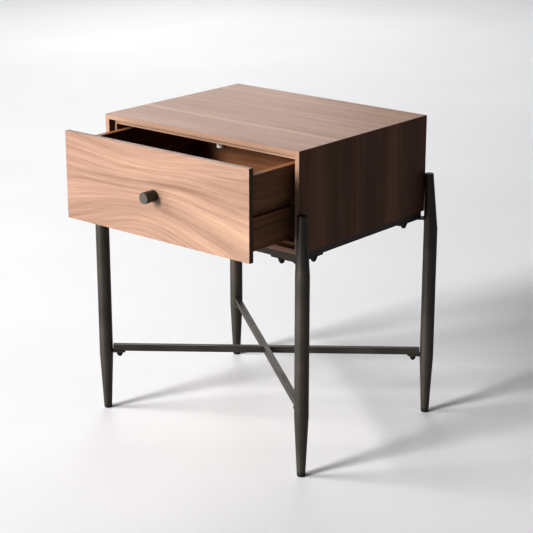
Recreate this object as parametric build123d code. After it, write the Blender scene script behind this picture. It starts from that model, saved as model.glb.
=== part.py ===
from build123d import *
import os
from math import atan2, degrees, hypot

os.makedirs("parts", exist_ok=True)

# Side table with one drawer: a mitred wooden case on a welded steel frame, four tapered tube legs
# and a crossed stretcher. Millimetres, +Z up, the drawer faces -Y. While it is being built the case
# is centred on X = 0 and Y = 0; export() then moves everything so that the origin lies on the floor
# under the middle of the whole part, with the drawer standing partly open.

# Case
CASE_WIDTH = 450.0
CASE_DEPTH = 363.0
CASE_TOP_Z = 572.5
CASE_BOTTOM_Z = 395.0
BOARD = 9.0
LINER_RECESS = 12.0
LINER_SIDE = 7.0
LINER_TOP = 9.0
LINER_BOTTOM = 7.0
BACK_PANEL = 6.0
BACK_INSET = 3.0

# Drawer
DRAWER_OPEN = 110.5
FRONT_WIDTH = 425.0
FRONT_THICKNESS = 9.5
FRONT_GAP_Z = 0.9
BOX_WIDTH = 402.0
BOX_DEPTH = 315.0
BOX_BOTTOM_Z = 418.0
BOX_TOP_Z = 545.5
BOX_WALL = 12.0
TRAY = 5.0
TRAY_RAISE = 9.0
TRAY_TONGUE = 4.5
TRAY_REBATE = 1.5
TRAY_PLAY = 0.25
BUMPER = 1.6
BUMPER_RADIUS = 2.5
BUMPER_X = 180.0
KNOB_RADIUS = 10.0
KNOB_LENGTH = 25.0
KNOB_CHAMFER = 0.7
KNOB_DROP = 1.7

# Runners and the stop that keeps the drawer from falling out
RUNNER_HEIGHT = 14.0
RUNNER_Z = 481.5
RUNNER_LENGTH = 320.0
RUNNER_NOSE = 4.0
GROOVE_DEPTH = 5.5
GROOVE_PLAY = 0.5
STOP_RADIUS = 8.0
STOP_DROP = 21.0
STOP_ROUNDING = 1.5
STOP_WELL = 3.0
STOP_Y = -121.0

# Steel frame under the case
TUBE_HEIGHT = 12.0
TUBE_WIDTH = 10.0
TUBE_WALL = 1.2
FRAME_INSET = 3.7
PLATE = 3.0
ARM_WIDTH = 13.0
ARM_REACH = 76.0
ARM_BOLT_REACH = 56.0
TONGUE_WIDTH = 16.0

# Legs
LEG_X = 237.5
LEG_Y = 186.5
LEG_RADIUS = 12.5
LEG_TOP_RADIUS = 7.9
LEG_FOOT_RADIUS = 7.6
LEG_WALL = 1.5
LEG_TOP_Z = 464.5
LEG_UPPER_SHOULDER_Z = 362.0
LEG_LOWER_SHOULDER_Z = 110.0
LEG_TOP_SHIFT = 5.5
CAP = 1.5
GLIDE = 8.0
GLIDE_TAPER = 0.6
GLIDE_ROUNDING = 0.8
GLIDE_NECK = 12.0
CAP_NECK = 6.0
CAP_NECK_PLAY = 0.5
PLUG_PLAY = 0.1

# Crossed stretcher
RAIL_TOP_Z = 128.5
RAIL_START = 15.5
RAIL_PLUG = 1.5
RAIL_PLUG_NECK = 5.0
TAB_WIDTH = 14.0
TAB_CORNER = 3.0
TAB_REACH = 36.0
TAB_BOLT_REACH = 25.5

# Fasteners
SCREW_RADIUS = 1.6
SCREW_HEAD_RADIUS = 3.4
SCREW_HEAD = 2.0
HOLE_PLAY = 0.1
OVERCUT = 1.0
STUD_RADIUS = 2.9
STUD_BITE = 5.0
NUT_FLANGE_RADIUS = 6.4
NUT_FLANGE = 1.5
NUT_HEX_FLATS = 10.0
NUT_HEX = 3.2
NUT_DOME_RADIUS = 4.6
DOWEL_RADIUS = 3.0
DOWEL_LENGTH = 26.0
DOWEL_BLIND = 4.0
DOWEL_SPREAD_Z = 36.0
SCREW_BITE = 4.0
STOP_SCREW_BITE = 5.0
BACK_SCREW_BITE = 14.0
BACK_SCREW_X = 110.0
BACK_SCREW_SPREAD_Z = 43.0
CASE_SCREW_X = 90.0
CASE_SCREW_BITE = 6.0
FRONT_SCREW_X = 140.0
FRONT_SCREW_SPREAD_Z = 30.0
FRONT_SCREW_BITE = 7.0
KNOB_SCREW_BITE = 11.0
RUNNER_SCREW_SPREAD = 128.0

# Sizes and places that follow from the dimensions above
half_width = CASE_WIDTH / 2
half_depth = CASE_DEPTH / 2
case_height = CASE_TOP_Z - CASE_BOTTOM_Z
case_middle_z = (CASE_TOP_Z + CASE_BOTTOM_Z) / 2
inner_half_width = half_width - BOARD
inner_bottom_z = CASE_BOTTOM_Z + BOARD
inner_top_z = CASE_TOP_Z - BOARD
liner_front_y = -half_depth + LINER_RECESS
back_panel_rear_y = half_depth - BACK_INSET
liner_rear_y = back_panel_rear_y - BACK_PANEL
liner_face_x = inner_half_width - LINER_SIDE
liner_ceiling_z = inner_top_z - LINER_TOP
liner_floor_z = inner_bottom_z + LINER_BOTTOM

front_y = -half_depth - DRAWER_OPEN
front_back_y = front_y + FRONT_THICKNESS
front_bottom_z = inner_bottom_z + FRONT_GAP_Z
front_top_z = inner_top_z - FRONT_GAP_Z
knob_z = (front_bottom_z + front_top_z) / 2 - KNOB_DROP
knob_screw_length = BOX_WALL + FRONT_THICKNESS + KNOB_SCREW_BITE
box_half_width = BOX_WIDTH / 2
box_inner_half_width = box_half_width - BOX_WALL
box_middle_z = (BOX_TOP_Z + BOX_BOTTOM_Z) / 2
box_rear_y = front_back_y + BOX_DEPTH
tray_bottom_z = BOX_BOTTOM_Z + TRAY_RAISE
tray_tongue_z = tray_bottom_z + TRAY - TRAY_REBATE

groove_bottom_x = box_half_width - GROOVE_DEPTH
runner_inner_x = groove_bottom_x + GROOVE_PLAY
runner_width = liner_face_x - runner_inner_x
runner_middle_y = liner_front_y + RUNNER_LENGTH / 2
runner_screw_length = runner_width + LINER_SIDE + SCREW_BITE
stop_bottom_z = liner_ceiling_z - STOP_DROP
stop_screw_length = STOP_DROP - STOP_WELL + LINER_TOP + STOP_SCREW_BITE

frame_half_x = half_width - FRAME_INSET
frame_half_y = half_depth - FRAME_INSET
frame_bottom_z = CASE_BOTTOM_Z - TUBE_HEIGHT
bar_line_x = frame_half_x - TUBE_WIDTH / 2
bar_line_y = frame_half_y - TUBE_WIDTH / 2
plate_bottom_z = frame_bottom_z - PLATE

rail_bottom_z = RAIL_TOP_Z - TUBE_HEIGHT
tab_bottom_z = rail_bottom_z - PLATE
diagonal = hypot(LEG_X, LEG_Y)
rail_half_length = diagonal - RAIL_START
diagonal_x = LEG_X / diagonal
diagonal_y = LEG_Y / diagonal

part_front_y = front_y - KNOB_LENGTH
part_rear_y = LEG_Y + LEG_RADIUS
centring_shift = Pos(0, -(part_front_y + part_rear_y) / 2, 0)

CORNERS = {
    "front_left": (-1, -1),
    "front_right": (1, -1),
    "rear_left": (-1, 1),
    "rear_right": (1, 1),
}


def export(node, shapes):
    """Write one node: one solid, or a list of identical separate fasteners."""
    pieces = shapes if isinstance(shapes, list) else [shapes]
    solids = []
    for piece in pieces:
        solids += (centring_shift * piece).solids()
    compound = Compound(children=solids) if len(solids) > 1 else solids[0]
    export_step(compound, f"parts/{node}.step")


def block(x_range, y_range, z_range):
    """An upright box between the given limits."""
    centre = [(low + high) / 2 for low, high in (x_range, y_range, z_range)]
    size = [high - low for low, high in (x_range, y_range, z_range)]
    return Pos(*centre) * Box(*size)


def rod(start, direction, radius, length):
    """A round bar from a start point along a direction."""
    return Solid.make_cylinder(radius, length, Plane(origin=start, z_dir=direction))


def ring_side(half_u, half_v, thickness, side):
    """The four corners of one mitred side of a rectangular ring, in the ring's own plane."""
    in_u = half_u - thickness
    in_v = half_v - thickness
    return {
        "low_v": [(-half_u, -half_v), (half_u, -half_v), (in_u, -in_v), (-in_u, -in_v)],
        "high_v": [(-in_u, in_v), (in_u, in_v), (half_u, half_v), (-half_u, half_v)],
        "low_u": [(-half_u, -half_v), (-in_u, -in_v), (-in_u, in_v), (-half_u, half_v)],
        "high_u": [(in_u, -in_v), (half_u, -half_v), (half_u, half_v), (in_u, in_v)],
    }[side]


def prism(plane, corners, height):
    """A prism on a closed outline, standing up from the plane."""
    outline = Polyline([plane.from_local_coords((u, v, 0)) for u, v in corners], close=True)
    return extrude(make_face(outline), amount=height, dir=plane.z_dir)


def countersunk_screw(point, direction, length):
    """A wood screw whose flat head lies at point and whose shank runs along direction."""
    head_plane = Plane(origin=point, z_dir=direction)
    head = Solid.make_cone(SCREW_HEAD_RADIUS, SCREW_RADIUS, SCREW_HEAD, head_plane)
    return head + rod(point, direction, SCREW_RADIUS, length)


def screw_hole(point, direction, length):
    """The hole for a countersunk screw, a hair wider than the screw all over."""
    start = Vector(*point) - Vector(*direction) * HOLE_PLAY
    head_plane = Plane(origin=start, z_dir=direction)
    top = SCREW_HEAD_RADIUS + 2 * HOLE_PLAY
    head = Solid.make_cone(top, SCREW_RADIUS + HOLE_PLAY, SCREW_HEAD + 2 * HOLE_PLAY, head_plane)
    return head + rod(start, direction, SCREW_RADIUS + HOLE_PLAY, length + 2 * HOLE_PLAY)


def pan_screw(point, direction, length):
    """A pan-head screw whose head stands on the surface at point."""
    head = rod(point, Vector(*direction) * -1, SCREW_HEAD_RADIUS, SCREW_HEAD)
    return head + rod(point, direction, SCREW_RADIUS, length)


def stud_hole(point, direction, length):
    """The hole for a stud, a hair wider than the stud."""
    return rod(point, direction, STUD_RADIUS + HOLE_PLAY, length)


def dome_nut(x, y, seat_z):
    """A flanged dome nut under a plate: flange, hexagon and rounded cap, blind inside."""
    flange = rod((x, y, seat_z), (0, 0, -1), NUT_FLANGE_RADIUS, NUT_FLANGE)
    hex_z = seat_z - NUT_FLANGE - NUT_HEX
    hexagon = RegularPolygon(NUT_HEX_FLATS / 2, 6, major_radius=False)
    nut = flange + Pos(x, y, hex_z) * extrude(hexagon, amount=NUT_HEX)
    dome = Pos(x, y, hex_z) * Sphere(NUT_DOME_RADIUS)
    reach = 2 * NUT_DOME_RADIUS
    nut += dome & block((x - reach, x + reach), (y - reach, y + reach), (hex_z - reach, hex_z))
    return nut - stud_hole((x, y, seat_z), (0, 0, -1), NUT_FLANGE + NUT_HEX)


def stud(x, y, top_z, seat_z):
    """A stud standing down out of a tube into a dome nut."""
    bottom_z = seat_z - NUT_FLANGE - NUT_HEX + 2 * HOLE_PLAY
    return rod((x, y, bottom_z), (0, 0, 1), STUD_RADIUS, top_z - bottom_z)


# Where the screws, studs and dowels go, so that each hole and its fastener share one list


def runner_screw_points(side):
    face_x = side * runner_inner_x
    ys = [runner_middle_y + step * RUNNER_SCREW_SPREAD for step in (-1, 0, 1)]
    return [(face_x, y, RUNNER_Z) for y in ys]


def back_screw_points():
    side_line = inner_half_width - LINER_SIDE / 2
    upright = [
        (x, back_panel_rear_y, case_middle_z + dz)
        for x in (-side_line, side_line)
        for dz in (-BACK_SCREW_SPREAD_Z, BACK_SCREW_SPREAD_Z)
    ]
    lines = (inner_bottom_z + LINER_BOTTOM / 2, inner_top_z - LINER_TOP / 2)
    level = [(x, back_panel_rear_y, z) for x in (-BACK_SCREW_X, BACK_SCREW_X) for z in lines]
    return upright + level


def case_screw_points():
    along_x = [
        (x, y, frame_bottom_z)
        for x in (-CASE_SCREW_X, CASE_SCREW_X)
        for y in (-bar_line_y, bar_line_y)
    ]
    along_y = [(x, 0, frame_bottom_z) for x in (-bar_line_x, bar_line_x)]
    return along_x + along_y


def frame_stud_points():
    points = []
    for sx, sy in CORNERS.values():
        points.append((sx * (LEG_X - ARM_BOLT_REACH), sy * bar_line_y))
        points.append((sx * bar_line_x, sy * (LEG_Y - ARM_BOLT_REACH)))
    return points


def stretcher_stud_points():
    reach = diagonal - TAB_BOLT_REACH
    return [(sx * reach * diagonal_x, sy * reach * diagonal_y) for sx, sy in CORNERS.values()]


def front_screw_points():
    inner_y = front_back_y + BOX_WALL
    return [
        (x, inner_y, box_middle_z + dz)
        for x in (-FRONT_SCREW_X, FRONT_SCREW_X)
        for dz in (-FRONT_SCREW_SPREAD_Z, FRONT_SCREW_SPREAD_Z)
    ]


def dowel_points():
    ys = (front_back_y + BOX_WALL / 2, box_rear_y - BOX_WALL / 2)
    start_x = box_half_width - DOWEL_BLIND
    return [
        (side * start_x, y, box_middle_z + dz)
        for side in (-1, 1)
        for y in ys
        for dz in (-DOWEL_SPREAD_Z, DOWEL_SPREAD_Z)
    ]


# Case


def case_board(side):
    plane = Plane(origin=(0, half_depth, case_middle_z), x_dir=(1, 0, 0), z_dir=(0, -1, 0))
    return prism(plane, ring_side(half_width, case_height / 2, BOARD, side), CASE_DEPTH)


def case_bottom():
    board = case_board("low_v")
    for point in case_screw_points():
        board -= screw_hole(point, (0, 0, 1), TUBE_HEIGHT + CASE_SCREW_BITE)
    return board


def case_top():
    return case_board("high_v") - stop_screw_hole()


def case_side(side):
    board = case_board("high_u" if side > 0 else "low_u")
    for point in runner_screw_points(side):
        board -= screw_hole(point, (side, 0, 0), runner_screw_length)
    return board


def back_panel():
    panel = block(
        (-inner_half_width, inner_half_width),
        (liner_rear_y, back_panel_rear_y),
        (inner_bottom_z, inner_top_z),
    )
    return panel - back_screw_holes()


def back_screw_holes():
    length = BACK_PANEL + BACK_SCREW_BITE
    return [screw_hole(point, (0, -1, 0), length) for point in back_screw_points()]


def liner_top():
    panel = block(
        (-inner_half_width, inner_half_width),
        (liner_front_y, liner_rear_y),
        (liner_ceiling_z, inner_top_z),
    )
    return panel - back_screw_holes() - stop_screw_hole()


def liner_bottom():
    panel = block(
        (-inner_half_width, inner_half_width),
        (liner_front_y, liner_rear_y),
        (inner_bottom_z, liner_floor_z),
    )
    return panel - back_screw_holes()


def liner_side(side):
    x_range = sorted((side * liner_face_x, side * inner_half_width))
    panel = block(x_range, (liner_front_y, liner_rear_y), (liner_floor_z, liner_ceiling_z))
    for point in runner_screw_points(side):
        panel -= screw_hole(point, (side, 0, 0), runner_screw_length)
    return panel - back_screw_holes()


def runner(side):
    x_range = sorted((side * runner_inner_x, side * liner_face_x))
    y_range = (liner_front_y, liner_front_y + RUNNER_LENGTH)
    strip = block(x_range, y_range, (RUNNER_Z - RUNNER_HEIGHT / 2, RUNNER_Z + RUNNER_HEIGHT / 2))
    strip = fillet(strip.edges().filter_by(Axis.X).sort_by(Axis.Y)[:2], RUNNER_NOSE)
    for point in runner_screw_points(side):
        strip -= screw_hole(point, (side, 0, 0), runner_screw_length)
    return strip


def runner_screws():
    return [
        countersunk_screw(point, (side, 0, 0), runner_screw_length)
        for side in (-1, 1)
        for point in runner_screw_points(side)
    ]


def back_screws():
    length = BACK_PANEL + BACK_SCREW_BITE
    return [countersunk_screw(point, (0, -1, 0), length) for point in back_screw_points()]


def stop_screw_hole():
    return screw_hole((0, STOP_Y, stop_bottom_z + STOP_WELL), (0, 0, 1), stop_screw_length)


def drawer_stop():
    """A peg under the ceiling that the back of the drawer meets when it is pulled right out."""
    peg = rod((0, STOP_Y, stop_bottom_z), (0, 0, 1), STOP_RADIUS, STOP_DROP)
    peg = fillet(peg.edges().sort_by(Axis.Z)[0], STOP_ROUNDING)
    well_radius = SCREW_HEAD_RADIUS + 4 * HOLE_PLAY
    well = rod((0, STOP_Y, stop_bottom_z), (0, 0, 1), well_radius, STOP_WELL)
    return peg - well - stop_screw_hole()


def drawer_stop_screw():
    return countersunk_screw((0, STOP_Y, stop_bottom_z + STOP_WELL), (0, 0, 1), stop_screw_length)


# Steel frame under the case


def frame_bar(side):
    plane = Plane(origin=(0, 0, frame_bottom_z))
    bar = prism(plane, ring_side(frame_half_x, frame_half_y, TUBE_WIDTH, side), TUBE_HEIGHT)
    inside = Plane(origin=(0, 0, frame_bottom_z + TUBE_WALL))
    hollow_side = ring_side(
        frame_half_x - TUBE_WALL, frame_half_y - TUBE_WALL, TUBE_WIDTH - 2 * TUBE_WALL, side
    )
    bar -= prism(inside, hollow_side, TUBE_HEIGHT - 2 * TUBE_WALL)
    for x, y in frame_stud_points():
        bar -= stud_hole((x, y, frame_bottom_z - OVERCUT), (0, 0, 1), TUBE_WALL + 2 * OVERCUT)
    for point in case_screw_points():
        bar -= screw_hole(point, (0, 0, 1), TUBE_HEIGHT + CASE_SCREW_BITE)
    return bar


def case_screws():
    length = TUBE_HEIGHT + CASE_SCREW_BITE
    return [countersunk_screw(point, (0, 0, 1), length) for point in case_screw_points()]


def frame_studs():
    top_z = frame_bottom_z + STUD_BITE
    return [stud(x, y, top_z, plate_bottom_z) for x, y in frame_stud_points()]


def frame_nuts():
    return [dome_nut(x, y, plate_bottom_z) for x, y in frame_stud_points()]


def corner_bracket(sx, sy):
    """An L-shaped plate under the corner of the frame, with a tongue welded to the leg."""
    end_x = LEG_X - ARM_REACH
    end_y = LEG_Y - ARM_REACH
    z_range = (plate_bottom_z, frame_bottom_z)
    front_arm = block(
        sorted((sx * end_x, sx * frame_half_x)),
        sorted((sy * (frame_half_y - ARM_WIDTH), sy * frame_half_y)),
        z_range,
    )
    side_arm = block(
        sorted((sx * (frame_half_x - ARM_WIDTH), sx * frame_half_x)),
        sorted((sy * end_y, sy * frame_half_y)),
        z_range,
    )
    tongue_angle = degrees(atan2(sy * (LEG_Y - bar_line_y), sx * (LEG_X - bar_line_x)))
    tongue_length = hypot(LEG_X - bar_line_x, LEG_Y - bar_line_y)
    tongue = Box(tongue_length, TONGUE_WIDTH, PLATE, align=(Align.MIN, Align.CENTER, Align.MIN))
    tongue = Pos(sx * bar_line_x, sy * bar_line_y, plate_bottom_z) * Rot(0, 0, tongue_angle) * tongue
    plate = front_arm + side_arm + tongue - leg_form(sx, sy, LEG_RADIUS, 0)
    for x, y in frame_stud_points():
        plate -= stud_hole((x, y, plate_bottom_z - OVERCUT), (0, 0, 1), PLATE + 2 * OVERCUT)
    return plate


# Legs


def leg_form(sx, sy, radius, wall):
    """The leg's outline as one solid, or with a wall thickness the space inside its tube."""
    x = sx * LEG_X
    y = sy * LEG_Y
    top_x = x - sx * LEG_TOP_SHIFT * diagonal_x
    top_y = y - sy * LEG_TOP_SHIFT * diagonal_y
    bottom = Pos(x, y, GLIDE) * Circle(LEG_FOOT_RADIUS - wall)
    lower = Pos(x, y, LEG_LOWER_SHOULDER_Z) * Circle(radius - wall)
    upper = Pos(x, y, LEG_UPPER_SHOULDER_Z) * Circle(radius - wall)
    top = Pos(top_x, top_y, LEG_TOP_Z) * Circle(LEG_TOP_RADIUS - wall)
    return loft([bottom, lower]) + loft([lower, upper]) + loft([upper, top])


def leg(sx, sy):
    return leg_form(sx, sy, LEG_RADIUS, 0) - leg_form(sx, sy, LEG_RADIUS, LEG_WALL)


def leg_cap(sx, sy):
    """A plug that closes the top of the tube."""
    x = sx * (LEG_X - LEG_TOP_SHIFT * diagonal_x)
    y = sy * (LEG_Y - LEG_TOP_SHIFT * diagonal_y)
    lid = rod((x, y, LEG_TOP_Z), (0, 0, 1), LEG_TOP_RADIUS, CAP)
    lid = fillet(lid.edges().sort_by(Axis.Z)[-1], CAP / 2)
    neck_radius = LEG_TOP_RADIUS - LEG_WALL - CAP_NECK_PLAY
    return lid + rod((x, y, LEG_TOP_Z), (0, 0, -1), neck_radius, CAP_NECK)


def leg_glide(sx, sy):
    """A plastic foot that plugs into the bottom of the tube."""
    foot_plane = Plane(origin=(sx * LEG_X, sy * LEG_Y, 0))
    foot = Solid.make_cone(LEG_FOOT_RADIUS - GLIDE_TAPER, LEG_FOOT_RADIUS, GLIDE, foot_plane)
    foot = fillet(foot.edges().sort_by(Axis.Z)[0], GLIDE_ROUNDING)
    neck_radius = LEG_FOOT_RADIUS - LEG_WALL - PLUG_PLAY
    return foot + rod((sx * LEG_X, sy * LEG_Y, GLIDE), (0, 0, 1), neck_radius, GLIDE_NECK)


# Crossed stretcher


def rail_angle(hand):
    """The rail's direction seen from above: hand 1 runs front left to rear right."""
    return degrees(atan2(hand * LEG_Y, LEG_X))


def rail_blank(hand, half_length, width, z_range):
    """A straight bar through the table's centre along one diagonal."""
    bar = block((-half_length, half_length), (-width / 2, width / 2), z_range)
    return Rot(0, 0, rail_angle(hand)) * bar


def stretcher_rail(hand):
    """A rectangular tube, halved at the middle where the other rail crosses it."""
    wall_z = (rail_bottom_z + TUBE_WALL, RAIL_TOP_Z - TUBE_WALL)
    rail = rail_blank(hand, rail_half_length, TUBE_WIDTH, (rail_bottom_z, RAIL_TOP_Z))
    rail -= rail_blank(hand, rail_half_length + OVERCUT, TUBE_WIDTH - 2 * TUBE_WALL, wall_z)
    middle_z = (rail_bottom_z + RAIL_TOP_Z) / 2
    upper_half = (middle_z, RAIL_TOP_Z + OVERCUT)
    lower_half = (rail_bottom_z - OVERCUT, middle_z)
    rail -= rail_blank(-hand, 3 * TUBE_WIDTH, TUBE_WIDTH, upper_half if hand > 0 else lower_half)
    for x, y in stretcher_stud_points():
        rail -= stud_hole((x, y, rail_bottom_z - OVERCUT), (0, 0, 1), TUBE_WALL + 2 * OVERCUT)
    return rail


def rail_plugs():
    """The four plastic plugs in the ends of the rails."""
    plugs = []
    neck_z = (rail_bottom_z + TUBE_WALL + PLUG_PLAY, RAIL_TOP_Z - TUBE_WALL - PLUG_PLAY)
    neck_half = TUBE_WIDTH / 2 - TUBE_WALL - PLUG_PLAY
    neck_x = (rail_half_length - RAIL_PLUG_NECK, rail_half_length)
    lid_x = (rail_half_length, rail_half_length + RAIL_PLUG)
    lid = block(lid_x, (-TUBE_WIDTH / 2, TUBE_WIDTH / 2), (rail_bottom_z, RAIL_TOP_Z))
    plug = lid + block(neck_x, (-neck_half, neck_half), neck_z)
    for hand in (-1, 1):
        for end in (0, 180):
            plugs.append(Rot(0, 0, rail_angle(hand) + end) * plug)
    return plugs


def stretcher_tab(sx, sy):
    """A plate welded to the leg, on which the rail's end is bolted."""
    near = diagonal - TAB_REACH
    tab = block((near, diagonal), (-TAB_WIDTH / 2, TAB_WIDTH / 2), (tab_bottom_z, rail_bottom_z))
    outer_end = tab.edges().filter_by(Axis.Z).sort_by(Axis.X)[:2]
    tab = fillet(outer_end, TAB_CORNER)
    tab = Rot(0, 0, degrees(atan2(sy * LEG_Y, sx * LEG_X))) * tab
    tab -= leg_form(sx, sy, LEG_RADIUS, 0)
    for x, y in stretcher_stud_points():
        tab -= stud_hole((x, y, tab_bottom_z - OVERCUT), (0, 0, 1), PLATE + 2 * OVERCUT)
    return tab


def stretcher_studs():
    top_z = rail_bottom_z + STUD_BITE
    return [stud(x, y, top_z, tab_bottom_z) for x, y in stretcher_stud_points()]


def stretcher_nuts():
    return [dome_nut(x, y, tab_bottom_z) for x, y in stretcher_stud_points()]


# Drawer


def drawer_front():
    panel = block(
        (-FRONT_WIDTH / 2, FRONT_WIDTH / 2), (front_y, front_back_y), (front_bottom_z, front_top_z)
    )
    for point in front_screw_points():
        panel -= rod(point, (0, -1, 0), SCREW_RADIUS + HOLE_PLAY, BOX_WALL + FRONT_SCREW_BITE)
    return panel - knob_bore()


def tray_slot():
    """The slot all round the inside of the box that holds the drawer's bottom."""
    reach = box_inner_half_width + TRAY_TONGUE + TRAY_PLAY
    y_range = (
        front_back_y + BOX_WALL - TRAY_TONGUE - TRAY_PLAY,
        box_rear_y - BOX_WALL + TRAY_TONGUE + TRAY_PLAY,
    )
    z_range = (tray_bottom_z - TRAY_PLAY, tray_tongue_z + TRAY_PLAY)
    return block((-reach, reach), y_range, z_range)


def dowel_holes():
    """Holes for the dowels, half a millimetre deeper than the dowels at each end."""
    holes = []
    for x, y, z in dowel_points():
        inward = -1 if x > 0 else 1
        start = (x - inward / 2, y, z)
        holes.append(rod(start, (inward, 0, 0), DOWEL_RADIUS + HOLE_PLAY, DOWEL_LENGTH + 1))
    return holes


def drawer_side(side):
    """A side of the drawer's box, with the runner's groove along its whole length."""
    x_range = sorted((side * box_inner_half_width, side * box_half_width))
    panel = block(x_range, (front_back_y, box_rear_y), (BOX_BOTTOM_Z, BOX_TOP_Z))
    groove_x = sorted((side * groove_bottom_x, side * (box_half_width + OVERCUT)))
    groove_z = (
        RUNNER_Z - RUNNER_HEIGHT / 2 - GROOVE_PLAY,
        RUNNER_Z + RUNNER_HEIGHT / 2 + GROOVE_PLAY,
    )
    panel -= block(groove_x, (front_back_y - OVERCUT, box_rear_y + OVERCUT), groove_z)
    return panel - tray_slot() - dowel_holes()


def drawer_cross_panel(y_range):
    panel = block(
        (-box_inner_half_width, box_inner_half_width), y_range, (BOX_BOTTOM_Z, BOX_TOP_Z)
    )
    return panel - tray_slot() - dowel_holes()


def drawer_box_front():
    panel = drawer_cross_panel((front_back_y, front_back_y + BOX_WALL))
    for point in front_screw_points():
        panel -= rod(point, (0, -1, 0), SCREW_RADIUS + HOLE_PLAY, BOX_WALL + FRONT_SCREW_BITE)
    return panel - knob_bore()


def drawer_back():
    return drawer_cross_panel((box_rear_y - BOX_WALL, box_rear_y))


def drawer_bottom():
    """A board between the four walls, with a thinner edge all round that sits in their slots."""
    half_x = box_inner_half_width - TRAY_PLAY
    front_edge_y = front_back_y + BOX_WALL + TRAY_PLAY
    rear_edge_y = box_rear_y - BOX_WALL - TRAY_PLAY
    field = block((-half_x, half_x), (front_edge_y, rear_edge_y), (tray_bottom_z, tray_bottom_z + TRAY))
    grip = TRAY_TONGUE + TRAY_PLAY
    tongue = block(
        (-half_x - grip, half_x + grip),
        (front_edge_y - grip, rear_edge_y + grip),
        (tray_bottom_z, tray_tongue_z),
    )
    return field + tongue


def drawer_dowels():
    dowels = []
    for x, y, z in dowel_points():
        inward = -1 if x > 0 else 1
        dowels.append(rod((x, y, z), (inward, 0, 0), DOWEL_RADIUS, DOWEL_LENGTH))
    return dowels


def front_screws():
    length = BOX_WALL + FRONT_SCREW_BITE
    return [pan_screw(point, (0, -1, 0), length) for point in front_screw_points()]


def knob_bore():
    """The hole for the knob's screw, through both front panels and into the knob."""
    start = (0, front_back_y + BOX_WALL, knob_z)
    return rod(start, (0, -1, 0), SCREW_RADIUS + HOLE_PLAY, knob_screw_length + OVERCUT)


def knob():
    body = rod((0, front_y, knob_z), (0, -1, 0), KNOB_RADIUS, KNOB_LENGTH)
    rim = body.edges().sort_by(Axis.Y)[0]
    return chamfer(rim, KNOB_CHAMFER) - knob_bore()


def knob_screw():
    return pan_screw((0, front_back_y + BOX_WALL, knob_z), (0, -1, 0), knob_screw_length)


def front_bumpers():
    """Soft pads on the back of the drawer's front, which meet the liner's front edges."""
    heights = (inner_bottom_z + LINER_BOTTOM / 2 + 0.5, inner_top_z - LINER_TOP / 2)
    return [
        rod((x, front_back_y, z), (0, 1, 0), BUMPER_RADIUS, BUMPER)
        for x in (-BUMPER_X, BUMPER_X)
        for z in heights
    ]


export("case_top", case_top())
export("case_bottom", case_bottom())
export("case_left_side", case_side(-1))
export("case_right_side", case_side(1))
export("case_back_panel", back_panel())
export("back_panel_screws", back_screws())
export("liner_top", liner_top())
export("liner_bottom", liner_bottom())
export("liner_left", liner_side(-1))
export("liner_right", liner_side(1))
export("runner_left", runner(-1))
export("runner_right", runner(1))
export("runner_screws", runner_screws())
export("drawer_stop", drawer_stop())
export("drawer_stop_screw", drawer_stop_screw())

for name, side in (("front", "low_v"), ("rear", "high_v"), ("left", "low_u"), ("right", "high_u")):
    export(f"frame_{name}_bar", frame_bar(side))
export("case_screws", case_screws())
export("frame_studs", frame_studs())
export("frame_nuts", frame_nuts())

for corner, (sx, sy) in CORNERS.items():
    export(f"corner_bracket_{corner}", corner_bracket(sx, sy))
    export(f"leg_{corner}", leg(sx, sy))
    export(f"leg_cap_{corner}", leg_cap(sx, sy))
    export(f"leg_glide_{corner}", leg_glide(sx, sy))
    export(f"stretcher_tab_{corner}", stretcher_tab(sx, sy))

export("stretcher_rail_lower", stretcher_rail(1))
export("stretcher_rail_upper", stretcher_rail(-1))
export("rail_end_plugs", rail_plugs())
export("stretcher_studs", stretcher_studs())
export("stretcher_nuts", stretcher_nuts())

export("drawer_front", drawer_front())
export("drawer_box_front", drawer_box_front())
export("drawer_left_side", drawer_side(-1))
export("drawer_right_side", drawer_side(1))
export("drawer_back", drawer_back())
export("drawer_bottom", drawer_bottom())
export("drawer_dowels", drawer_dowels())
export("drawer_front_screws", front_screws())
export("knob", knob())
export("knob_screw", knob_screw())
export("front_bumpers", front_bumpers())
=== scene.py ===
"""The looks of a side table with one drawer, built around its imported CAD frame. Metres, +Z up."""

import math

import bmesh
import bpy
from mathutils import Matrix, Vector


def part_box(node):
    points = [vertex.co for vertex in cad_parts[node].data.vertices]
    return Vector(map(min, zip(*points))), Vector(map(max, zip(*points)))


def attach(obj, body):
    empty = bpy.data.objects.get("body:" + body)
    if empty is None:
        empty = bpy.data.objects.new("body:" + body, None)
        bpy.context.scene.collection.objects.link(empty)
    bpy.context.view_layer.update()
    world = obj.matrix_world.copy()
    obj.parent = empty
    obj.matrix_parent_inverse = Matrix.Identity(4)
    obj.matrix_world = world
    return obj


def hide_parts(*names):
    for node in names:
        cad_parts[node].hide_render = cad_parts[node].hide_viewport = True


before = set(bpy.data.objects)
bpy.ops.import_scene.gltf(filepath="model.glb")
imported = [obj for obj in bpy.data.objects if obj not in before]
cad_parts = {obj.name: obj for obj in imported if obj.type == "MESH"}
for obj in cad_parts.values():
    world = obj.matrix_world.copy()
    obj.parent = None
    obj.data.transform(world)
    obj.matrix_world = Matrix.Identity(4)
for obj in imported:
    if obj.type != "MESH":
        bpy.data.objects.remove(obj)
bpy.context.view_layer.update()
scene = bpy.context.scene

MM = 0.001
CORNERS = ("front_left", "front_right", "rear_left", "rear_right")

# Camera: where it stands, how far it is turned from the +Y direction, how far it looks down, its
# lens in millimetres and how far it sees
CAMERA_PLACE = Vector((1.801, -2.068, 1.180))
CAMERA_TURN = math.radians(40.23)
CAMERA_DIP = math.radians(17.80)
CAMERA_LENS = 106.66
CAMERA_SIGHT = 100.0

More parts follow.
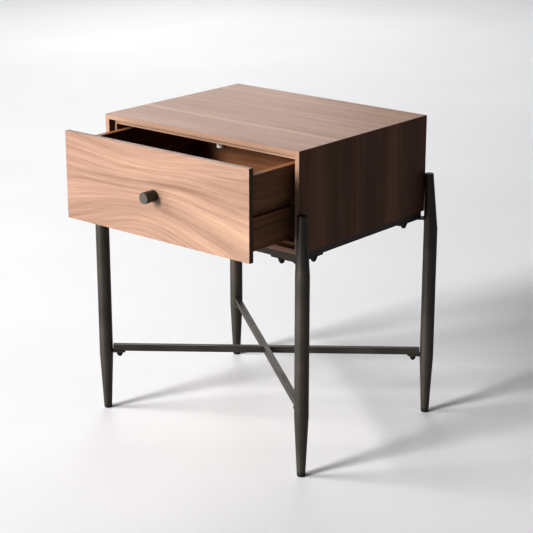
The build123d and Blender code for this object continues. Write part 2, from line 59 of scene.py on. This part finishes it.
# Light: a tall soft key in front of the table and a little to its left, made of two soft suns one
# above the other, two soft panels on the left, and one bright wall beyond the table, whose middle
# is turned to the left of +Y and lifted above the horizon
KEY_TURN = math.radians(-16.5)
KEY_HEIGHTS = (math.radians(13.0), math.radians(24.0))
KEY_SOFTNESS = (math.radians(20.0), math.radians(15.0))
KEY_STRENGTH = 2.8
FRONT_PANEL = {"place": (-3.0, -2.6, 2.0), "aim": (0.0, 0.0, 0.3), "size": 1.6, "power": 152.0}
BACK_PANEL = {"place": (-3.5, 3.5, 2.5), "aim": (-1.5, 2.0, 0.0), "size": 2.0, "power": 43.0}
WALL_COLOUR = (0.97, 0.98, 1.0)
WALL_STRENGTH = 0.57
WALL_TURN = math.radians(40.0)
WALL_LIFT = 0.25
WALL_WIDTH = math.radians(50.0)
BACKDROP_STRENGTH = 0.75
CONTRAST = 0.70

# Floor
FLOOR_RADIUS = 30.0
FLOOR_CORNERS = 64
FLOOR_TONES = ((0.83, 0.83, 0.835), (0.87, 0.87, 0.875))
FLOOR_CLOUD_SCALE = 1.3
FLOOR_GRIT_SCALE = 40.0
FLOOR_ROUGHNESS = 0.55
FLOOR_ROUGHNESS_SPREAD = (0.0, 0.15)

# Where most of a noise's values lie
NOISE_RANGE = (0.3, 0.7)

# Wood tones, from the dark lines of the grain to the pale ones
FRONT_TONES = ((0.205, 0.125, 0.090), (0.295, 0.200, 0.152), (0.400, 0.280, 0.205))
TOP_TONES = ((0.320, 0.185, 0.130), (0.430, 0.275, 0.205), (0.540, 0.365, 0.270))
# The sides' tones are the case's walnut made much darker: painted shade, which both sides carry
SIDE_TONES_PAINTED_SHADE = ((0.105, 0.044, 0.022), (0.150, 0.067, 0.036), (0.230, 0.110, 0.060))
CASE_TONES = ((0.225, 0.135, 0.093), (0.315, 0.205, 0.150), (0.420, 0.285, 0.210))
# Drawer box sides: the box wood made darker, as painted shade
BOX_SIDE_TONES_PAINTED_SHADE = ((0.160, 0.078, 0.038), (0.255, 0.128, 0.064), (0.350, 0.190, 0.100))
# Drawer box ends, floor and the sides' top edges: the box wood made paler, as painted light
BOX_END_TONES_PAINTED_LIGHT = ((0.350, 0.175, 0.092), (0.490, 0.258, 0.140), (0.610, 0.340, 0.190))
EDGE_TONES = ((0.220, 0.140, 0.100), (0.310, 0.210, 0.155), (0.400, 0.280, 0.210))
PALE_EDGE_TONES = ((0.270, 0.175, 0.125), (0.370, 0.255, 0.190), (0.470, 0.340, 0.255))
BEECH_TONES = ((0.46, 0.31, 0.19), (0.56, 0.40, 0.26), (0.66, 0.50, 0.34))
END_TONE = (0.065, 0.032, 0.020)
END_SHARE = 0.9

# Wood figure: how often each layer changes per metre, along the grain and across it
WAVE_SCALES = (4.0, 9.0)
BROAD_SCALES = (2.2, 26.0)
LINE_SCALES = (3.5, 150.0)
HAIR_SCALES = (14.0, 900.0)
PORE_SCALES = (55.0, 1500.0)
WAVE_SIZE = 4.0 * MM
HAIR_STRENGTH = 0.18
TONE_RANGE = (0.32, 0.68)
PORE_RANGE = (0.60, 0.72)
PORE_SHARE = 0.35
WOOD_RELIEF = {"Distance": 0.15 * MM, "Strength": 0.25}
WOOD_ROUGHNESS_SPREAD = (0.06, -0.04)
WOOD_SPECULAR = 0.30

# How far a surface's normal has to lie along an axis before the surface counts as facing it
FACING_RANGE = (0.6, 0.8)

# The drawer front's figure: where its waist is, as shares of the front's width and height, and how
# soon it opens, as a share of the width
WAIST_ALONG = 0.42
WAIST_UP = 0.68
WAIST_SPREAD = 0.34

# Pale bands in the veneer: how far back from the case's front edge, half width, strength
TOP_BANDS = ((0.104, 0.012, 0.32), (0.320, 0.011, 0.22))
SIDE_BANDS = ((0.050, 0.034, 0.60), (0.158, 0.028, 0.28), (0.267, 0.034, 0.58))

# Coated steel: a slow drift between three shades of one colour, and a fine orange peel
COAT_METALLIC = 0.55
COAT_SHADES = (0.78, 1.0, 1.25)
DRIFT_SCALE = 14.0
DRIFT_STOPS = (0.3, 0.5, 0.7)
PEEL_SCALE = 900.0
PEEL_RANGE = (0.55, 0.8)
PEEL_SHARE = 0.35
COAT_RELIEF = {"Distance": 0.05 * MM, "Strength": 0.35}
COAT_ROUGHNESS_SPREAD = (-0.05, 0.07)

# Plastic, nylon and plated steel: a little dirt, and a fine grain
DIRT_SCALE = 60.0
DIRT_SHADE = 0.75
DIRT_STOPS = (0.35, 0.65)
GRAIN_SCALE = 700.0
GRAIN_RELIEF = {"Distance": 0.04 * MM, "Strength": 0.4}
GRAIN_ROUGHNESS_SPREAD = (-0.06, 0.08)

# Rounding of the edges of boards, bars and plates
EDGE_ROUNDING = 0.4 * MM
EDGE_ANGLE = math.radians(35)
MERGE_DISTANCE = 0.002 * MM

# Weld beads, each a little shorter than the width of the plate that it holds
BEAD_RADIUS = 1.3 * MM
BEAD_STEPS = 60
BEAD_CORNERS = 8
BEAD_RIPPLES = 14
BEAD_RIPPLE_SIZE = 0.10
BEAD_END_SIZE = 0.55
BEAD_SHARE = 0.9
BRACKET_TONGUE_WIDTH = 16 * MM
STRETCHER_TAB_WIDTH = 14 * MM

# Screws: (depth under the head's top, radius) down to where the shank starts, and the cross recess
COUNTERSUNK_HEAD = ((0.0, 3.4 * MM), (2.0 * MM, 1.6 * MM))
PAN_HEAD = (
    (0.0, 2.5 * MM),
    (0.3 * MM, 3.0 * MM),
    (0.9 * MM, 3.4 * MM),
    (2.0 * MM, 3.4 * MM),
    (2.0 * MM, 1.6 * MM),
)
SCREW_CORNERS = 24
RECESS_REACH = 1.7 * MM
RECESS_WIDTH = 0.9 * MM
RECESS_DEPTH = 1.2 * MM


# Node helpers


def put(tree, value, socket):
    """Link a socket, or set a plain value, on an input."""
    if isinstance(value, bpy.types.NodeSocket):
        tree.links.new(value, socket)
    elif socket.type == "RGBA" and len(value) == 3:
        socket.default_value = (*value, 1.0)
    else:
        socket.default_value = value


def add_node(tree, kind, inputs=None, **settings):
    """A node with its settings and its inputs, which are given by name or number."""
    made = tree.nodes.new(kind)
    for name, value in settings.items():
        setattr(made, name, value)
    for key, value in (inputs or {}).items():
        put(tree, value, made.inputs[key])
    return made


def calculate(tree, operation, *values):
    inputs = dict(enumerate(values))
    return add_node(tree, "ShaderNodeMath", inputs, operation=operation).outputs[0]


def remap(tree, value, low, high, new_low=0.0, new_high=1.0, curve="LINEAR"):
    """A value moved from one range to another, and held inside the new one."""
    inputs = {0: value, 1: low, 2: high, 3: new_low, 4: new_high}
    made = add_node(tree, "ShaderNodeMapRange", inputs, interpolation_type=curve)
    return made.outputs[0]


def split(tree, place):
    """The three parts of a vector, by the names of their axes."""
    return add_node(tree, "ShaderNodeSeparateXYZ", {0: place}).outputs


def noise(tree, place, scale=1.0, detail=2.0, roughness=0.5):
    inputs = {"Vector": place, "Scale": scale, "Detail": detail, "Roughness": roughness}
    return add_node(tree, "ShaderNodeTexNoise", inputs).outputs["Fac"]


def ramp(tree, factor, stops):
    """A colour ramp through (position, colour) stops."""
    made = add_node(tree, "ShaderNodeValToRGB", {"Fac": factor})
    elements = made.color_ramp.elements
    while len(elements) < len(stops):
        elements.new(0.5)
    for element, (position, colour) in zip(elements, stops):
        element.position = position
        element.color = (*colour, 1.0)
    return made.outputs["Color"]


def blend(tree, factor, first, second):
    """A mix of two colours, which is the second one where the factor is 1."""
    # The node's colour sockets come after those for its other kinds of data
    made = add_node(tree, "ShaderNodeMix", data_type="RGBA")
    put(tree, factor, made.inputs[0])
    put(tree, first, made.inputs[6])
    put(tree, second, made.inputs[7])
    return made.outputs[2]


def new_material(name, **constants):
    """A material with one Principled shader, whose constant inputs are set on its own sockets."""
    material = bpy.data.materials.new(name)
    material.use_nodes = True
    tree = material.node_tree
    tree.nodes.clear()
    shader = tree.nodes.new("ShaderNodeBsdfPrincipled")
    output = tree.nodes.new("ShaderNodeOutputMaterial")
    tree.links.new(shader.outputs[0], output.inputs["Surface"])
    for key, value in constants.items():
        put(tree, value, shader.inputs[key.replace("_", " ")])
    return material, tree, shader


def vary_roughness(tree, shader, pattern, roughness, spread):
    """Make the roughness follow a noise. The spread is what it adds where it is low and high."""
    at_low, at_high = (roughness + extra for extra in spread)
    put(tree, remap(tree, pattern, *NOISE_RANGE, at_low, at_high), shader.inputs["Roughness"])


def add_relief(tree, shader, height, relief):
    """Bump the surface by a height, with the relief's distance and strength."""
    bump = add_node(tree, "ShaderNodeBump", {**relief, "Height": height})
    put(tree, bump.outputs[0], shader.inputs["Normal"])


def object_place(tree):
    """The point on the object in the frame's metres, which moves with its piece."""
    return tree.nodes.new("ShaderNodeTexCoord").outputs["Object"]


def shade(colour, factor):
    """A colour made darker or paler by a factor."""
    return tuple(factor * part for part in colour)


# Wood


def grain(tree, place, scales, **settings):
    """Noise over a place's three parts, the first of which lies along the grain."""
    along_scale, across_scale = scales
    inputs = {}
    for number, (part, scale) in enumerate(zip(place, (along_scale, across_scale, across_scale))):
        inputs[number] = calculate(tree, "MULTIPLY", part, scale)
    stretched = add_node(tree, "ShaderNodeCombineXYZ", inputs).outputs[0]
    return noise(tree, stretched, **settings)


def hourglass(tree, along, across):
    """The drawer front's growth lines, drawn together at a waist and opened to both sides."""
    low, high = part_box("drawer_front")
    waist_x = low.x + WAIST_ALONG * (high.x - low.x)
    waist_z = low.z + WAIST_UP * (high.z - low.z)
    spread = WAIST_SPREAD * (high.x - low.x)
    offset = calculate(tree, "DIVIDE", calculate(tree, "SUBTRACT", along, waist_x), spread)
    squared = calculate(tree, "MULTIPLY", offset, offset)
    opening = calculate(tree, "SQRT", calculate(tree, "ADD", squared, 1.0))
    return calculate(tree, "DIVIDE", calculate(tree, "SUBTRACT", across, waist_z), opening)


def add_pale_bands(tree, tone, ring, bands):
    """Brighten bands with soft edges, measured back from the front of the case."""
    case_front_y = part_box("case_top")[0].y
    for centre, half_width, strength in bands:
        offset = calculate(tree, "SUBTRACT", ring, case_front_y + centre)
        distance = calculate(tree, "ABSOLUTE", offset)
        band = remap(tree, distance, 0.0, half_width, strength, 0.0, "SMOOTHSTEP")
        tone = calculate(tree, "ADD", tone, band)
    return tone


def facing_along(tree, axis):
    """How far a surface faces along an axis, either way: 1 where it does and 0 where it doesn't."""
    normal = tree.nodes.new("ShaderNodeTexCoord").outputs["Normal"]
    part = split(tree, normal)[axis]
    return remap(tree, calculate(tree, "ABSOLUTE", part), *FACING_RANGE)


def tone_colour(tree, tone, tones):
    """The colour of a tone from 0 to 1, between a dark, a middle and a pale one."""
    return ramp(tree, tone, list(zip((0.0, 0.5, 1.0), tones)))


def wood(
    name,
    along,
    across,
    tones,
    edge_tones=EDGE_TONES,
    bands=(),
    figure=None,
    streaks=0.45,
    seed=0.0,
    roughness=0.40,
):
    """Wood with its grain along one axis of a board and its growth lines spread across another.

    Surfaces that face along the second axis are edge strips. Those that face along the grain are
    the board's dark ends. The seed moves the figure along the grain, so that no two boards match.
    """
    material, tree, shader = new_material(name, Specular_IOR_Level=WOOD_SPECULAR)
    parts = split(tree, object_place(tree))
    depth = next(axis for axis in "XYZ" if axis not in (along, across))
    length = calculate(tree, "ADD", parts[along], seed)
    wave = grain(tree, (length, parts[across], parts[depth]), WAVE_SCALES, detail=1.0)
    ring = figure(tree, parts[along], parts[across]) if figure else parts[across]
    ring = calculate(tree, "ADD", ring, remap(tree, wave, *NOISE_RANGE, -WAVE_SIZE, WAVE_SIZE))

    place = (length, ring, parts[depth])
    broad = grain(tree, place, BROAD_SCALES)
    lines = grain(tree, place, LINE_SCALES, detail=3.0, roughness=0.6)
    hairs = grain(tree, place, HAIR_SCALES)
    pores = remap(tree, grain(tree, place, PORE_SCALES, detail=1.0), *PORE_RANGE)

    tone = 0.5
    for layer, strength in ((broad, streaks), (lines, streaks), (hairs, HAIR_STRENGTH)):
        centred = calculate(tree, "SUBTRACT", layer, 0.5)
        tone = calculate(tree, "MULTIPLY_ADD", centred, strength, tone)
    tone = add_pale_bands(tree, remap(tree, tone, *TONE_RANGE), ring, bands)

    face_colour = tone_colour(tree, tone, tones)
    edge_colour = tone_colour(tree, tone, edge_tones)
    colour = blend(tree, facing_along(tree, across), face_colour, edge_colour)
    end_share = calculate(tree, "MULTIPLY", facing_along(tree, along), END_SHARE)
    colour = blend(tree, end_share, colour, END_TONE)
    colour = blend(tree, calculate(tree, "MULTIPLY", pores, PORE_SHARE), colour, tones[0])
    put(tree, colour, shader.inputs["Base Color"])
    vary_roughness(tree, shader, lines, roughness, WOOD_ROUGHNESS_SPREAD)
    add_relief(tree, shader, calculate(tree, "SUBTRACT", hairs, pores), WOOD_RELIEF)
    return material


# Metal, plastic and the floor


def bronze(name, base, roughness):
    """Steel with a satin dark bronze coat: a fine orange peel and a slow drift of tone."""
    material, tree, shader = new_material(name, Metallic=COAT_METALLIC)
    place = object_place(tree)
    drift = noise(tree, place, DRIFT_SCALE)
    peel = noise(tree, place, PEEL_SCALE, detail=1.0)
    shades = [shade(base, factor) for factor in COAT_SHADES]
    colour = ramp(tree, drift, list(zip(DRIFT_STOPS, shades)))
    colour = blend(tree, remap(tree, peel, *PEEL_RANGE, 0.0, PEEL_SHARE), colour, shades[-1])
    put(tree, colour, shader.inputs["Base Color"])
    vary_roughness(tree, shader, drift, roughness, COAT_ROUGHNESS_SPREAD)
    add_relief(tree, shader, peel, COAT_RELIEF)
    return material


def speckled(name, base, roughness, metallic=0.0):
    """Plastic, nylon or plated steel: one tone with a fine grain and a little dirt."""
    material, tree, shader = new_material(name, Metallic=metallic)
    place = object_place(tree)
    dirt = noise(tree, place, DIRT_SCALE, detail=3.0)
    fine = noise(tree, place, GRAIN_SCALE)
    colour = ramp(tree, dirt, list(zip(DIRT_STOPS, (shade(base, DIRT_SHADE), base))))
    put(tree, colour, shader.inputs["Base Color"])
    vary_roughness(tree, shader, fine, roughness, GRAIN_ROUGHNESS_SPREAD)
    add_relief(tree, shader, fine, GRAIN_RELIEF)
    return material


def floor_paint():
    """Pale paint with a faint cloud of tone and a little grit in its sheen."""
    material, tree, shader = new_material("floor_paint")
    place = object_place(tree)
    cloud = noise(tree, place, FLOOR_CLOUD_SCALE, detail=3.0)
    grit = noise(tree, place, FLOOR_GRIT_SCALE, detail=4.0)
    colour = ramp(tree, cloud, list(zip(NOISE_RANGE, FLOOR_TONES)))
    put(tree, colour, shader.inputs["Base Color"])
    vary_roughness(tree, shader, grit, FLOOR_ROUGHNESS, FLOOR_ROUGHNESS_SPREAD)
    return material


# Dressing the CAD nodes


def dress(nodes, material, rounded=False):
    """Give nodes a material and, where asked, slightly rounded edges."""
    for name in nodes:
        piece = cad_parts[name]
        for slot in piece.material_slots:
            slot.material = material
        if rounded:
            merging = piece.modifiers.new("merging", "WELD")
            merging.merge_threshold = MERGE_DISTANCE
            rounding = piece.modifiers.new("rounding", "BEVEL")
            rounding.width = EDGE_ROUNDING
            rounding.segments = 2
            rounding.limit_method = "ANGLE"
            rounding.angle_limit = EDGE_ANGLE
            rounding.harden_normals = True


def at_corners(kind):
    """The four nodes of a kind, one at each corner of the table."""
    return [f"{kind}_{corner}" for corner in CORNERS]


top_wood = wood("walnut_top", "X", "Y", TOP_TONES, bands=TOP_BANDS, streaks=0.17, roughness=0.42)
# The case's sides get the darkened tones: painted shade
side_wood_painted_shade = wood("walnut_side_painted_shade", "Z", "Y", SIDE_TONES_PAINTED_SHADE, bands=SIDE_BANDS, streaks=0.30, seed=3.0)
plain_wood = wood("walnut_plain", "X", "Z", CASE_TONES, seed=7.0)
front_wood = wood("walnut_front", "X", "Z", FRONT_TONES, figure=hourglass, streaks=0.46)
level_wood = wood("liner_level", "X", "Y", CASE_TONES, PALE_EDGE_TONES, seed=11.0)
upright_wood = wood("liner_upright", "Z", "Y", CASE_TONES, PALE_EDGE_TONES, seed=13.0)
dress(["case_top"], top_wood, rounded=True)
dress(["case_left_side", "case_right_side"], side_wood_painted_shade, rounded=True)
dress(["case_bottom", "case_back_panel"], plain_wood, rounded=True)
dress(["drawer_front"], front_wood, rounded=True)
dress(["liner_top", "liner_bottom"], level_wood, rounded=True)
dress(["liner_left", "liner_right"], upright_wood, rounded=True)

# The box sides' faces carry painted shade, and their top edges the paler painted-light tones
box_side_wood_painted_shade = wood(
    "box_side_wood_painted_shade", "Y", "Z", BOX_SIDE_TONES_PAINTED_SHADE, BOX_END_TONES_PAINTED_LIGHT, seed=17.0, roughness=0.5
)
# The box ends and floor carry the paler tones: painted light
box_end_wood_painted_light = wood(
    "box_end_wood_painted_light", "X", "Z", BOX_END_TONES_PAINTED_LIGHT, BOX_END_TONES_PAINTED_LIGHT, seed=19.0, roughness=0.5
)
box_floor_board = wood("box_floor_board", "X", "Y", BOX_END_TONES_PAINTED_LIGHT, seed=23.0, roughness=0.5)
beech = wood("beech", "Y", "Z", BEECH_TONES, seed=29.0, roughness=0.55)
dress(["drawer_left_side", "drawer_right_side"], box_side_wood_painted_shade, rounded=True)
dress(["drawer_back", "drawer_box_front"], box_end_wood_painted_light, rounded=True)
dress(["drawer_bottom"], box_floor_board, rounded=True)
dress(["runner_left", "runner_right", "drawer_dowels"], beech)

coated_steel = bronze("bronze_steel", (0.080, 0.070, 0.060), 0.42)
frame_bars = [f"frame_{side}_bar" for side in ("front", "rear", "left", "right")]
dress(frame_bars, coated_steel, rounded=True)
dress(["stretcher_rail_upper", "stretcher_rail_lower"], coated_steel, rounded=True)
dress(at_corners("corner_bracket") + at_corners("stretcher_tab"), coated_steel, rounded=True)
dress(at_corners("leg") + at_corners("leg_cap"), coated_steel)
dress(["knob"], bronze("knob_metal", (0.112, 0.100, 0.092), 0.38))

black_hardware = speckled("black_hardware", (0.030, 0.028, 0.027), 0.42, metallic=0.6)
zinc = speckled("zinc_screws", (0.62, 0.61, 0.58), 0.34, metallic=1.0)
black_plastic = speckled("black_plastic", (0.022, 0.022, 0.023), 0.5)
dress(["frame_nuts", "frame_studs", "stretcher_nuts", "stretcher_studs"], black_hardware)
dress(["case_screws", "runner_screws", "drawer_stop_screw"], zinc)
dress([*at_corners("leg_glide"), "rail_end_plugs"], black_plastic)
dress(["drawer_stop"], speckled("white_nylon", (0.72, 0.71, 0.67), 0.45))
dress(["front_bumpers"], speckled("soft_pads", (0.10, 0.10, 0.10), 0.6))


# Pieces added to the CAD model


def add_object(name, data):
    made = bpy.data.objects.new(name, data)
    scene.collection.objects.link(made)
    return made


def add_piece(name, shape, material, body):
    """Turn a finished bmesh into an object that moves with a body."""
    bmesh.ops.recalc_face_normals(shape, faces=shape.faces)
    mesh = bpy.data.meshes.new(name)
    shape.to_mesh(mesh)
    shape.free()
    mesh.materials.append(material)
    piece = add_object(name, mesh)
    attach(piece, body)
    return piece


def join_rings(shape, first, second):
    """Add the band of faces between two rings with the same number of points."""
    faces = []
    for k in range(len(first)):
        faces.append(shape.faces.new((first[k - 1], first[k], second[k], second[k - 1])))
    return faces


def add_bead(shape, centre, radius, toward, half_angle):
    """A rippled bead of weld along an arc about an upright tube, thinner at its ends."""
    upward = Vector((0.0, 0.0, 1.0))
    middle = math.atan2(toward.y - centre.y, toward.x - centre.x)
    rings = []
    for step in range(BEAD_STEPS + 1):
        share = step / BEAD_STEPS
        angle = middle + half_angle * (2 * share - 1)
        outward = Vector((math.cos(angle), math.sin(angle), 0.0))
        taper = BEAD_END_SIZE + (1 - BEAD_END_SIZE) * math.sin(math.pi * share)
        ripple = 1 + BEAD_RIPPLE_SIZE * math.sin(math.tau * BEAD_RIPPLES * share)
        thickness = BEAD_RADIUS * taper * ripple
        ring = []
        for corner in range(BEAD_CORNERS):
            turn = math.tau * corner / BEAD_CORNERS
            offset = math.cos(turn) * outward + math.sin(turn) * upward
            ring.append(shape.verts.new(centre + radius * outward + thickness * offset))
        rings.append(ring)
    for first, second in zip(rings, rings[1:]):
        for face in join_rings(shape, first, second):
            face.smooth = True
    shape.faces.new(rings[0])
    shape.faces.new(rings[-1])


def middle_of(node):
    low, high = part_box(node)
    return (low + high) / 2


def add_weld(plate, leg, toward, plate_width):
    """Beads over and under a plate where it meets its leg."""
    leg_low, leg_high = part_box(leg)
    plate_low, plate_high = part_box(plate)
    radius = (leg_high.x - leg_low.x) / 2
    half_angle = BEAD_SHARE * math.asin(plate_width / 2 / radius)
    centre = middle_of(leg)
    shape = bmesh.new()
    for height in (plate_low.z, plate_high.z):
        centre.z = height
        add_bead(shape, centre, radius, toward, half_angle)
    add_piece(f"weld_{plate}", shape, coated_steel, "table")


def cross_outline(reach, width):
    """The twelve corners of a plus sign, in order."""
    corners = []
    for quarter in range(4):
        turn = Matrix.Rotation(quarter * math.pi / 2, 2)
        for corner in ((reach, -width / 2), (reach, width / 2), (width / 2, width / 2)):
            corners.append(turn @ Vector(corner))
    return corners


def add_crossed_screw(shape, top, length, head):
    """A screw along Y with a cross recess in its head, whose top faces +Y."""

    def ring(points, depth):
        return [shape.verts.new(top + Vector((x, -depth, z))) for x, z in points]

    def circle(radius):
        turns = [math.tau * k / SCREW_CORNERS for k in range(SCREW_CORNERS)]
        return [(radius * math.cos(turn), radius * math.sin(turn)) for turn in turns]

    shank_radius = head[-1][1]
    rings = [ring(circle(radius), depth) for depth, radius in (*head, (length, shank_radius))]
    for first, second in zip(rings, rings[1:]):
        join_rings(shape, first, second)
    shape.faces.new(rings[-1])

    mouth = ring(cross_outline(RECESS_REACH, RECESS_WIDTH), 0.0)
    pit = ring(cross_outline(RECESS_REACH / 2, RECESS_WIDTH / 2), RECESS_DEPTH)
    join_rings(shape, mouth, pit)
    shape.faces.new(pit)

    # The head's top lies between its rim and the mouth of the recess
    rims = []
    for loop in (rings[0], mouth):
        rims += [shape.edges.get((loop[k - 1], loop[k])) for k in range(len(loop))]
    bmesh.ops.triangle_fill(shape, edges=rims, use_beauty=True)


def islands(mesh):
    """The lowest and highest corner of each separate solid in a mesh."""
    shape = bmesh.new()
    shape.from_mesh(mesh)
    bmesh.ops.remove_doubles(shape, verts=shape.verts, dist=MERGE_DISTANCE)
    reached = set()
    boxes = []
    for start in shape.verts:
        if start in reached:
            continue
        reached.add(start)
        found = [start]
        for vert in found:
            for edge in vert.link_edges:
                other = edge.other_vert(vert)
                if other not in reached:
                    reached.add(other)
                    found.append(other)
        places = [vert.co for vert in found]
        boxes.append([Vector(map(pick, zip(*places))) for pick in (min, max)])
    shape.free()
    return boxes


def add_crossed_screws(node, head, body):
    """Screws with cross recesses that stand in the places of a CAD node's plain ones."""
    shape = bmesh.new()
    for low, high in islands(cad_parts[node].data):
        top = Vector(((low.x + high.x) / 2, high.y, (low.z + high.z) / 2))
        add_crossed_screw(shape, top, high.y - low.y, head)
    piece = add_piece(f"crossed_{node}", shape, zinc, body)
    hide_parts(node)


table_middle = (middle_of("leg_front_left") + middle_of("leg_rear_right")) / 2
for corner in CORNERS:
    depth, side = corner.split("_")
    frame_corner = Vector((middle_of(f"frame_{side}_bar").x, middle_of(f"frame_{depth}_bar").y))
    add_weld(f"corner_bracket_{corner}", f"leg_{corner}", frame_corner, BRACKET_TONGUE_WIDTH)
    add_weld(f"stretcher_tab_{corner}", f"leg_{corner}", table_middle, STRETCHER_TAB_WIDTH)
add_crossed_screws("back_panel_screws", COUNTERSUNK_HEAD, "table")
add_crossed_screws("drawer_front_screws", PAN_HEAD, "drawer")
add_crossed_screws("knob_screw", PAN_HEAD, "drawer")


# Studio


def make_floor():
    mesh = bpy.data.meshes.new("floor")
    shape = bmesh.new()
    bmesh.ops.create_circle(shape, cap_ends=True, radius=FLOOR_RADIUS, segments=FLOOR_CORNERS)
    shape.to_mesh(mesh)
    shape.free()
    mesh.materials.append(floor_paint())
    floor = add_object("floor", mesh)


def add_lamp(name, kind, matrix):
    light = bpy.data.lights.new(name, kind)
    lamp = add_object(name, light)
    lamp.matrix_world = matrix
    return light


def make_key():
    """Soft suns, one above the other, so that the light is even over the floor."""
    from_front = Matrix.Rotation(KEY_TURN, 4, "Z")
    for number, (height, softness) in enumerate(zip(KEY_HEIGHTS, KEY_SOFTNESS)):
        tilt = Matrix.Rotation(math.pi / 2 - height, 4, "X")
        light = add_lamp(f"key_{number}", "SUN", from_front @ tilt)
        light.energy = KEY_STRENGTH
        light.angle = softness


def make_panel(name, place, aim, size, power):
    """A square soft panel that fades with distance."""
    direction = Vector(aim) - Vector(place)
    facing = direction.to_track_quat("-Z", "Y").to_matrix().to_4x4()
    light = add_lamp(name, "AREA", Matrix.Translation(place) @ facing)
    light.shape = "SQUARE"
    light.size = size
    light.energy = power


def make_wall():
    """A room that gives light only from one soft wall beyond the table, which the lacquered top
    mirrors, and that looks plain and pale wherever the camera sees past the floor."""
    world = bpy.data.worlds.new("wall")
    world.use_nodes = True
    tree = world.node_tree
    background = tree.nodes["Background"]
    put(tree, WALL_COLOUR, background.inputs["Color"])
    direction = tree.nodes.new("ShaderNodeTexCoord").outputs["Generated"]
    middle = (-math.sin(WALL_TURN), math.cos(WALL_TURN), WALL_LIFT)
    inputs = {0: direction, 1: middle}
    product = add_node(tree, "ShaderNodeVectorMath", inputs, operation="DOT_PRODUCT")
    facing = product.outputs["Value"]
    glow = remap(tree, facing, math.cos(WALL_WIDTH), 1.0, 0.0, WALL_STRENGTH, "SMOOTHSTEP")
    seen = tree.nodes.new("ShaderNodeLightPath").outputs["Is Camera Ray"]
    backdrop = calculate(tree, "MULTIPLY", seen, BACKDROP_STRENGTH)
    put(tree, calculate(tree, "MAXIMUM", glow, backdrop), background.inputs["Strength"])
    scene.world = world


def make_camera():
    data = bpy.data.cameras.new("camera")
    data.lens = CAMERA_LENS
    data.clip_end = CAMERA_SIGHT
    camera = add_object("camera", data)
    camera.location = CAMERA_PLACE
    camera.rotation_euler = (math.pi / 2 - CAMERA_DIP, 0.0, CAMERA_TURN)
    bpy.context.scene.camera = camera


make_floor()
make_key()
make_panel("front_panel", **FRONT_PANEL)
make_panel("back_panel", **BACK_PANEL)
make_wall()
make_camera()
scene.view_settings.view_transform = "Standard"
scene.view_settings.gamma = CONTRAST
